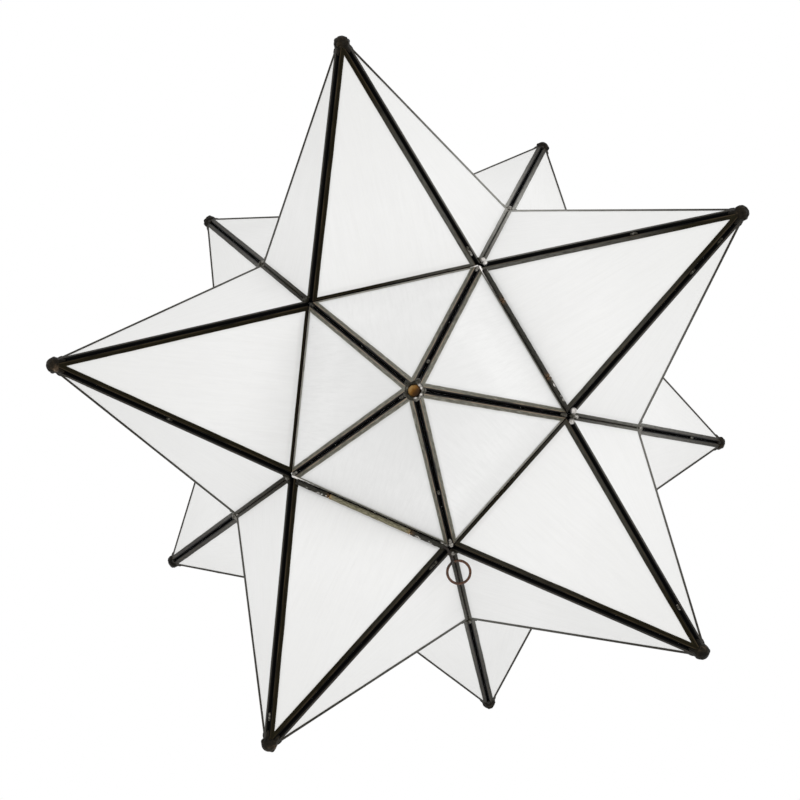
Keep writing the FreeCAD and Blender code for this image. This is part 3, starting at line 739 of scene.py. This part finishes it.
# Lumps at each corner of the door, as distances along six ways from it, a radius and how bare they are. The
# ways go up to the belt, up the ridges of the points after and before, along the rim to the next and the
# previous corner, and out of the star.
RIM_LUMPS = [
    [(4.0, 0, 0, 0, 0, 1.2, 1.9, 0.05), (5.8, 0, 0.8, 0, 0, 1.2, 1.7, 0.42),
     (2.6, 2.8, 0, 0, 0, 1.1, 1.4, 0.1)],
    [(8.0, 0.6, 0, 0, 0, 1.8, 1.6, 0.7), (4.8, 1.6, 0, 0, 0, 1.7, 1.9, 0.92),
     (1.8, 3.4, 0, 0, 0, 0.8, 1.8, 0.78), (0, 0, 8.4, 0, 0, -0.1, 1.0, 0.55),
     (3.6, 0, 2.6, 0, 0, 0.9, 1.6, 0.02)],
    [(1.4, 0, 4.0, 0, 0, 1.0, 2.3, 0.8), (9.2, 0, 0, 0, 0, 2.0, 1.6, 0.66),
     (0.6, 4.2, 0, 0, 0, 0.5, 2.1, 0.7), (5.4, 0, 0.4, 0, 0, 1.4, 1.9, 0.45),
     (3.0, 0, 0, 0, 0, 0.6, 1.6, 0.1)],
    [(3.8, 2.6, 0, 0, 0, 1.2, 1.7, 0.3), (6.4, 0, 0, 0, 0, 2.0, 1.9, 0.6),
     (3.4, 0, 3.0, 0, 0, 1.0, 1.6, 0.12), (0, 0, 0, 6.2, 0, 2.4, 1.4, 0.85),
     (0, 0, 0, 3.6, 0, 1.8, 1.5, 0.5)],
    [(5.0, 0, 0, 0, 0, 1.6, 1.8, 0.36), (2.6, 0, 3.6, 0, 0, 1.1, 1.5, 0.06),
     (4.2, 3.2, 0, 0, 0, 0.8, 1.4, 0.12), (0, 0, 2.8, 0, 4.4, 0.2, 1.5, 0.05),
     (0, 0, 3.4, 0, 6.4, 0.1, 1.2, 0.08), (0, 0, 5.2, 0, 3.6, 0.1, 1.2, 0.05)],
]


def build_rim_joints():
    joints = []
    for i, corner in enumerate(RIM):
        lumps = []
        goals = (LOW_BELT[i], sharp_end(f"lower_{i + 1}"), sharp_end(f"lower_{(i + 4) % 5 + 1}"),
                 next_of(RIM, i), RIM[i - 1])
        ways = [(goal - corner).normalized() for goal in goals] + [(corner - CENTRE).normalized()]
        for *spans, radius, bare in RIM_LUMPS[i]:
            place = Vector(corner)
            for way, span in zip(ways, spans):
                place += way * span
            lumps.append(Lump(place, radius, bare))
        joints.append(lumps)
    fuse("joints_rim", joints, 0.26, 0.14, 17, "star", "solder_rim", ripple=0.7, relief=0.2)


# Fillings of solder in the grooves: the point, the foot corner its ridge runs to, the share of the way down
# that ridge, the length and how bare it is.
GROOVE_RUNS = [("lower_2", 1, 0.15, 3.5, 0.12), ("lower_2", 1, 0.3, 2.5, 0.27),
               ("lower_2", 0, 0.42, 3.0, 0.3), ("lower_1", 1, 0.93, 4.0, 0.4), ("lower_3", 0, 0.2, 3.0, 0.35),
               ("lower_4", 1, 0.12, 4.0, 0.35), ("lower_5", 0, 0.5, 3.0, 0.25), ("lower_4", 0, 0.9, 5.0, 0.3),
               ("upper_2", 2, 0.4, 4.0, 0.3), ("upper_4", 1, 0.3, 4.0, 0.4), ("top", 2, 0.6, 5.0, 0.3),
               ("upper_1", 0, 0.7, 4.0, 0.35)]
DOOR_RUNS = [(3, 0.19, 2.0, 0.36), (1, 0.62, 3.0, 0.3), (0, 0.08, 3.0, 0.3)]
RUN_STEP = 0.9
# Streaks of solder on the foot of the door, bright as painted highlights: where each starts, where it runs
# to, the corner behind it, and its length each way.
DOOR_STREAKS = [(1, 2, 0, 28.0, 4.6), (4, 3, 0, 24.0, 1.2)]
STREAK_STEP = 0.8


def groove_lumps(point, corner, share, length, bare):
    end = sharp_end(point)
    run = FEET[point][corner] - end
    way = run.normalized()
    inward = (CENTRE - end).normalized()
    return [Lump(end + run * share + way * (k * RUN_STEP - length / 2) + inward * 0.25, 0.95, bare)
            for k in range(round(length / RUN_STEP) + 1)]


def build_groove_runs():
    groups = [groove_lumps(*run) for run in GROOVE_RUNS]
    fuse("groove_solder", groups, 0.22, 0.15, 23, "star")


def build_door_solder():
    """On the door: the foot ends of its ridges, fillings in its grooves, and streaks of solder on its foot,
    bright as painted highlights.
    """
    groups = [groove_lumps("door", *run) for run in DOOR_RUNS]
    for number, corner in enumerate(FEET["door"]):
        up_ridge = (DOOR_END - corner).normalized()
        bare = (0.45, 0.6, 0.35, 0.5, 0.12)[number]
        groups.append([Lump(corner + up_ridge * reach, radius, bare, up_ridge, 1.3)
                       for reach, radius in ((2.6, 1.5), (4.4, 1.35), (6.4, 1.1))])
        if number == 1:
            out = (corner - CENTRE).normalized()
            groups[-1].append(Lump(corner + up_ridge * 2.0 + out * 0.8, 1.7, 0.66))
    for corner, other, behind, length, back in DOOR_STREAKS:
        for first, last, span in ((corner, other, length), (corner, behind, back)):
            normal = outward(DOOR_END, RIM[first], RIM[last])
            run = (RIM[last] - RIM[first]).normalized()
            inward = way_in(RIM[first], RIM[last], normal, DOOR_END)
            edge = RIM[first] + inward * (CREASE_MITRE + DOOR_GAP + 0.55) + normal * (CAME_HALF - 0.25)
            lumps = []
            for k in range(round(span / STREAK_STEP)):
                reach = 1.0 + STREAK_STEP * k
                left = 1 - reach / (span + 1.5)
                # Painted highlight: each streak brightest where it starts.
                lumps.append(Lump(edge + run * reach, 0.6 + 0.7 * left ** 2, 0.5 + 0.65 * left))
            groups.append(lumps)
    fuse("door_solder", groups, 0.22, 0.08, 31, "door", "solder_door", relief=0.15)


build_tips()
build_door_tip()
build_belts()
build_rim_joints()
build_groove_runs()
build_door_solder()


# ---- hinge and latch
class Crease:
    """A foot crease of the door with the line that its tubes lie on."""

    def __init__(self, first, last, neighbour, shift=0.0):
        self.run = (RIM[last] - RIM[first]).normalized()
        self.out = ((RIM[first] + RIM[last]) / 2 - CENTRE).normalized()
        self.door_normal = outward(DOOR_END, RIM[first], RIM[last])
        self.body_normal = outward(sharp_end(neighbour), RIM[first], RIM[last])
        away = (self.out - self.body_normal * self.out.dot(self.body_normal)).normalized()
        self.line = RIM[first] + self.out * TUBE_OFFSET + away * shift

    def at(self, along, aside=UP, distance=0.0):
        return self.line + self.run * along + aside * distance


def roll_tube(work, crease, start, length, opening, half_gap, rust, chance):
    """A tube curled from sheet, open along a narrow or wide gap, a little uneven along its length."""
    side = crease.run.cross(opening).normalized()
    angles = [radians(half_gap + k * (360 - 2 * half_gap) / 18) for k in range(19)]
    steps = round(length / 1.1)
    sways = [chance.uniform(-0.05, 0.05) for step in range(steps + 1)]
    rows = []
    for radius, turns in ((TUBE_RADIUS, angles), (TUBE_INSIDE, angles[::-1])):
        for turn in turns:
            out = opening * cos(turn) + side * sin(turn)
            row = []
            for step in range(steps + 1):
                along = length * step / steps
                end = max(rust[0] * exp(-along), rust[1] * exp(along - length))
                swell = sways[step] + 0.04 * sin(3 * turn + 0.9 * step) if radius == TUBE_RADIUS else 0
                place = crease.at(start + along) + out * (radius + swell)
                row.append(work.vertex(place, start + along, turn / tau, end))
            rows.append(row)
    work.skin(rows, closed=False)
    for end in (0, -1):
        for k in range(len(angles) - 1):
            work.bm.faces.new([rows[j][end] for j in (k, k + 1, -k - 2, -k - 1)])


KNOB_STEP = 1.25


def solder_run(crease, start, length, normal, chance, bare, knobs):
    """The solder that holds a tube to its came, with some knobs on the tube's far side."""
    lumps = []
    for k in range(round(length / KNOB_STEP)):
        along = start + 0.9 + KNOB_STEP * k
        if along > start + length - 0.7:
            break
        lumps.append(Lump(crease.at(along, -normal, chance.uniform(1.0, 1.15)), chance.uniform(0.72, 0.86),
                          bare + chance.uniform(-0.2, 0.2)))
        if chance.random() < knobs:
            way = (crease.out + normal * chance.uniform(-0.9, 0.3)).normalized()
            shine = 0.66 if chance.random() < 0.45 else chance.uniform(0, 0.4)
            lumps.append(Lump(crease.at(along, way, 1.1), chance.uniform(0.5, 0.72), shine, crease.run,
                              chance.uniform(1.2, 2.2)))
    return lumps


BODY_STARTS = (TUBE_END_GAP, CORE_EDGE - TUBE_END_GAP - BODY_TUBE_LENGTH)
DOOR_TUBE_LENGTH = CORE_EDGE - 2 * DOOR_TUBE_START


def build_tubes(kind, crease, seed, bare, knobs):
    chance = random.Random(seed)
    work = Mesher("length", "around", "end")
    for start, rust in zip(BODY_STARTS, ((0, 0.9), (0.9, 0))):
        roll_tube(work, crease, start, BODY_TUBE_LENGTH, -crease.body_normal, 7, rust, chance)
    new_piece(f"{kind}_tubes_star", work, TUBE, "star", f"{kind}_tubes_body")
    work = Mesher("length", "around", "end")
    opening, half_gap, finish = (UP, 50, TUBE_TAN) if kind == "latch" else (-crease.door_normal, 7, TUBE)
    roll_tube(work, crease, DOOR_TUBE_START, DOOR_TUBE_LENGTH, opening, half_gap, (1.0, 1.0), chance)
    new_piece(f"{kind}_tube_middle", work, finish, "door", f"{kind}_tube_door", slot="tube")
    runs = [solder_run(crease, start, BODY_TUBE_LENGTH, crease.body_normal, chance, bare, knobs)
            for start in BODY_STARTS]
    fuse(f"{kind}_solder_star", runs, 0.2, 0.12, seed, "star", ripple=1.2)
    lumps = solder_run(crease, DOOR_TUBE_START, DOOR_TUBE_LENGTH, crease.door_normal, chance, 0.25, 0.0)
    fuse(f"{kind}_solder_door", [lumps], 0.2, 0.12, seed + 1, "door", ripple=1.2)


HINGE = Crease(1, 2, "lower_2")
LATCH = Crease(4, 3, "lower_4", LATCH_SHIFT)
build_tubes("hinge", HINGE, 41, 0.12, 0.45)
build_tubes("latch", LATCH, 57, 0.25, 1.0)

# The pull wire, as a bend radius or None, and the degrees or length of each stretch.
WIRE_LEGS = [(None, CORE_EDGE - 2 * TUBE_END_GAP + 1.5), (3.0, 43.0), (None, 5.5), (2.5, 70.0),
             (RING_RADIUS, -338.0)]
WIRE_SIDES = 12


def wire_path():
    """Places and headings along the middle of the pull wire, with how far each is into the ring."""
    place = LATCH.at(TUBE_END_GAP)
    heading = LATCH.run
    path = [(place, heading, 0.0)]
    for bend, amount in WIRE_LEGS:
        if bend is None:
            steps = round(amount / 1.2)
            for step in range(steps):
                place = place + heading * (amount / steps)
                path.append((place, heading, 0.0))
            continue
        steps = round(radians(abs(amount)) * bend / 0.6)
        half = radians(amount / steps / 2)
        for step in range(steps):
            heading = Matrix.Rotation(half, 3, UP) @ heading
            place = place + heading * (2 * bend * sin(abs(half)))
            heading = Matrix.Rotation(half, 3, UP) @ heading
            ring = min(1.0, 0.35 + step / 12) if bend == RING_RADIUS else 0.0
            path.append((place, heading, ring))
    return path


def build_wire():
    """The pull wire, a little flattened by the pliers in its ring."""
    work = Mesher("length", "around", "end")
    rows = []
    for step, (place, heading, ring) in enumerate(wire_path()):
        side = heading.cross(UP).normalized()
        radius = WIRE_RADIUS * (1 + 0.03 * sin(0.9 * step))
        row = []
        for k in range(WIRE_SIDES):
            turn = tau * k / WIRE_SIDES
            out = side * cos(turn) + UP * (sin(turn) * (1 - 0.06 * ring))
            row.append(work.vertex(place + out * radius, 1.1 * step, k / WIRE_SIDES, ring))
        rows.append(row)
    work.skin(rows, around=False)
    for row, heading in ((rows[0], -LATCH.run), (rows[-1], wire_path()[-1][1])):
        middle = sum((vertex.co for vertex in row), Vector()) / WIRE_SIDES
        tip = work.vertex(middle + heading * 0.3, 0.0, 0.0, 1.0)
        work.bridge(row, [tip])
    new_piece("pull_wire", work, WIRE, "latch_pin", "latch_pin")


build_wire()


# ---- turned and threaded pieces on the Z axis
def revolve(work, profile, steps=64, reach=lambda angle: inf):
    """Turn a closed line of (radius, height) pairs; reach(angle) limits the radius, as flats on a nut do."""
    angles = [tau * k / steps for k in range(steps)]
    work.skin([[work.vertex(turned(min(radius, reach(angle)), angle, height)) for angle in angles]
               for radius, height in profile])


def thread(work, inside, outside, low, high, pitch, depth, zones, steps=28):
    """A tube whose outside carries a helical thread in some zones of its height."""
    angles = [tau * k / steps for k in range(steps)]
    rows = []
    height = low
    while height < high:
        threaded = any(first <= height <= last for first, last in zones)
        cut = depth if threaded and low + 0.4 < height < high - 0.4 else 0
        waves = [0.5 - 0.5 * cos(angle - tau * height / pitch) for angle in angles]
        rows.append([work.vertex(turned(outside - cut * wave, angle, height))
                     for angle, wave in zip(angles, waves)])
        height += pitch / 6 if threaded else 4.0
    for radius, level in ((outside - 0.2, high), (inside, high), (inside, low), (outside - 0.2, low)):
        rows.append([work.vertex(turned(radius, angle, level)) for angle in angles])
    work.skin(rows)


STEM_RADIUS = 5.1
STEM_BORE = 3.4
STEM_TOP = -13.0
STEM_BOTTOM = -168.549
HOLE_RADIUS = 5.15
HOOD_TOP = -20.0
HOOD_BOTTOM = -40.0
HOOD_SHEET = 1.2
FLARE = FOOT_RADIUS / POINT_HEIGHT
NUT_FLATS = 15.0
NUT_HEIGHT = 4.0
WASHER_HEIGHT = 1.2
BASE_RADIUS = 13.1
BASE_SHEET = 0.8
BASE_LOW = -206.549
BASE_HIGH = -182.549
INSULATOR_RADIUS = 8.0


def hood_inside(height):
    return FLARE * (14.0 + HOOD_TOP - height) + 1.0


def build_hood():
    """Spun hood: a flat top with a rounded shoulder, a turned line and a beaded rim."""
    wall = HOOD_SHEET / cos(atan(FLARE))
    top = hood_inside(HOOD_TOP) + wall
    low = hood_inside(HOOD_BOTTOM) + wall
    profile = [(HOLE_RADIUS, HOOD_TOP - HOOD_SHEET), (HOLE_RADIUS, HOOD_TOP), (top - 1.6, HOOD_TOP),
               (top - 0.7, HOOD_TOP - 0.12), (top - 0.1, HOOD_TOP - 0.5)]
    for share in (0.12, 0.2, 0.22, 0.25, 0.28, 0.3, 0.5, 0.7, 0.86):
        height = HOOD_TOP + share * (HOOD_BOTTOM - HOOD_TOP)
        profile.append((hood_inside(height) + wall + (0.35 if 0.21 < share < 0.29 else 0), height))
    for angle in range(100, -100, -25):
        bend = radians(angle)
        profile.append((low - 0.2 + 1.1 * cos(bend), HOOD_BOTTOM + 1.1 + 1.1 * sin(bend)))
    profile.append((hood_inside(HOOD_BOTTOM), HOOD_BOTTOM))
    profile.append((hood_inside(HOOD_TOP - HOOD_SHEET), HOOD_TOP - HOOD_SHEET))
    work = Mesher()
    revolve(work, profile, 96)
    new_piece("hood_spun", work, BRONZE, "star", "top_hood")


def hexagon(angle):
    """Distance to the flats of a nut."""
    return NUT_FLATS / 2 / cos(angle % (pi / 3) - pi / 6)


def build_nuts(name, bottoms, *nodes):
    work = Mesher()
    for bottom in bottoms:
        top = bottom + NUT_HEIGHT
        revolve(work, [(HOLE_RADIUS, bottom + 0.5), (HOLE_RADIUS + 0.5, bottom), (7.6, bottom),
                       (9.0, bottom + 0.75), (9.0, top - 0.75), (7.6, top), (HOLE_RADIUS + 0.5, top),
                       (HOLE_RADIUS, top - 0.5)], 72, hexagon)
    new_piece(name, work, ZINC, "star", *nodes)


def build_washer():
    high = HOOD_TOP - HOOD_SHEET
    low = high - WASHER_HEIGHT
    work = Mesher()
    revolve(work, [(HOLE_RADIUS, low + 0.2), (HOLE_RADIUS + 0.2, low), (8.75, low), (8.95, low + 0.2),
                   (9.0, high - 0.3), (8.8, high), (HOLE_RADIUS, high)])
    new_piece("washer", work, ZINC, "star", "top_washer")


def build_threads():
    work = Mesher()
    thread(work, STEM_BORE, STEM_RADIUS, STEM_BOTTOM, STEM_TOP, 1.0, 0.3,
           [(STEM_BOTTOM, STEM_BOTTOM + 14), (STEM_TOP - 24, STEM_TOP)])
    new_piece("stem_threaded", work, BRASS, "star", "stem_pipe")
    work = Mesher()
    cone_low = BASE_HIGH - 2.0
    thread(work, BASE_RADIUS - BASE_SHEET, BASE_RADIUS, BASE_LOW, cone_low, 3.6, 0.6,
           [(BASE_LOW + 3.0, cone_low - 0.8)], 64)
    revolve(work, [(INSULATOR_RADIUS, BASE_HIGH), (9.6, BASE_HIGH - 0.35), (11.9, cone_low + 0.55),
                   (12.9, cone_low), (BASE_RADIUS - BASE_SHEET, cone_low - 0.7), (8.6, BASE_HIGH - 1.1)])
    new_piece("lamp_screw", work, LAMP_METAL, "lamp", "lamp_base")


build_hood()
build_washer()
build_nuts("nut_under_hood", [HOOD_TOP - HOOD_SHEET - WASHER_HEIGHT - NUT_HEIGHT], "top_nut")
build_nuts("nuts_on_holder", [STEM_BOTTOM + 0.5 + NUT_HEIGHT + 0.8, STEM_BOTTOM + 0.5], "holder_nuts")
build_threads()

DRESS = {
    "hinge_pin": WIRE, "hanging_loop": BRONZE, "holder_cup": BRONZE, "holder_body": PORCELAIN,
    "holder_screws": ZINC, "holder_shell": BRASS, "holder_contact": BRASS, "lamp_glass": LAMP_FROST,
    "lamp_insulator": BLACK_GLASS, "lamp_button": LAMP_METAL,
}
for node, material in DRESS.items():
    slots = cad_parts[node].data.materials
    slots.clear()
    slots.append(material)


# ---- surroundings
FLOOR_LEVEL = -2.6
FLOOR_HALF = 6.0


def add_floor():
    mesh = bpy.data.meshes.new("floor")
    corners = [(x * FLOOR_HALF, y * FLOOR_HALF, FLOOR_LEVEL) for x, y in ((-1, -1), (1, -1), (1, 1), (-1, 1))]
    mesh.from_pydata(corners, [], [(0, 1, 2, 3)])
    mesh.materials.append(clouded("floor", 2.0, 4.0, (0.86, 0.86, 0.86), (0.9, 0.9, 0.9), (0.7, 0.8)))
    add_object("floor", mesh)


WORLD_LIGHT = 0.97


def add_world():
    """Even white light, and plain white for the camera and in reflections."""
    world = bpy.data.worlds.new("studio")
    bpy.context.scene.world = world
    world.use_nodes = True
    world.node_tree.nodes.clear()
    new = world.node_tree.nodes.new
    link = world.node_tree.links.new
    rays = new("ShaderNodeLightPath")
    seen = rays.outputs["Is Camera Ray"]
    for kind in ("Is Glossy Ray", "Is Transmission Ray"):
        either = new("ShaderNodeMath")
        either.operation = "MAXIMUM"
        link(seen, either.inputs[0])
        link(rays.outputs[kind], either.inputs[1])
        seen = either.outputs[0]
    mix = new("ShaderNodeMixShader")
    link(seen, mix.inputs[0])
    for slot, strength in ((1, WORLD_LIGHT), (2, 1.0)):
        light = new("ShaderNodeBackground")
        light.inputs["Color"].default_value = (1, 1, 1, 1)
        light.inputs["Strength"].default_value = strength
        link(light.outputs[0], mix.inputs[slot])
    link(mix.outputs[0], new("ShaderNodeOutputWorld").inputs[0])


CAMERA_PLACE = Vector((-0.03924542, -0.00340211, -1.18666388))
CAMERA_TURN = (-177.449867, -2.015378, 120.262851)
LENS = 61.12
SENSOR = 36


def add_camera():
    data = bpy.data.cameras.new("camera")
    data.lens = LENS
    data.sensor_width = SENSOR
    camera = add_object("camera", data)
    camera.location = CAMERA_PLACE
    camera.rotation_euler = [radians(angle) for angle in CAMERA_TURN]
    bpy.context.scene.camera = camera
    bpy.context.view_layer.update()
    return camera


def add_area(name, camera, offset, size, power):
    """A soft lamp placed by the camera's own right, up and back."""
    data = bpy.data.lights.new(name, "AREA")
    data.shape = "DISK"
    data.size = size
    data.energy = power
    lamp = add_object(name, data)
    target = CENTRE * MM
    lamp.location = target + camera.matrix_world.to_3x3() @ Vector(offset)
    lamp.rotation_euler = (target - lamp.location).to_track_quat("-Z", "Y").to_euler()


add_floor()
add_world()
camera = add_camera()
add_area("key", camera, (1.0, 0.6, 1.6), 0.7, 5.2)
add_area("fill", camera, (-0.8, -0.5, 1.6), 0.9, 1.4)
bpy.context.scene.view_settings.view_transform = "Standard"
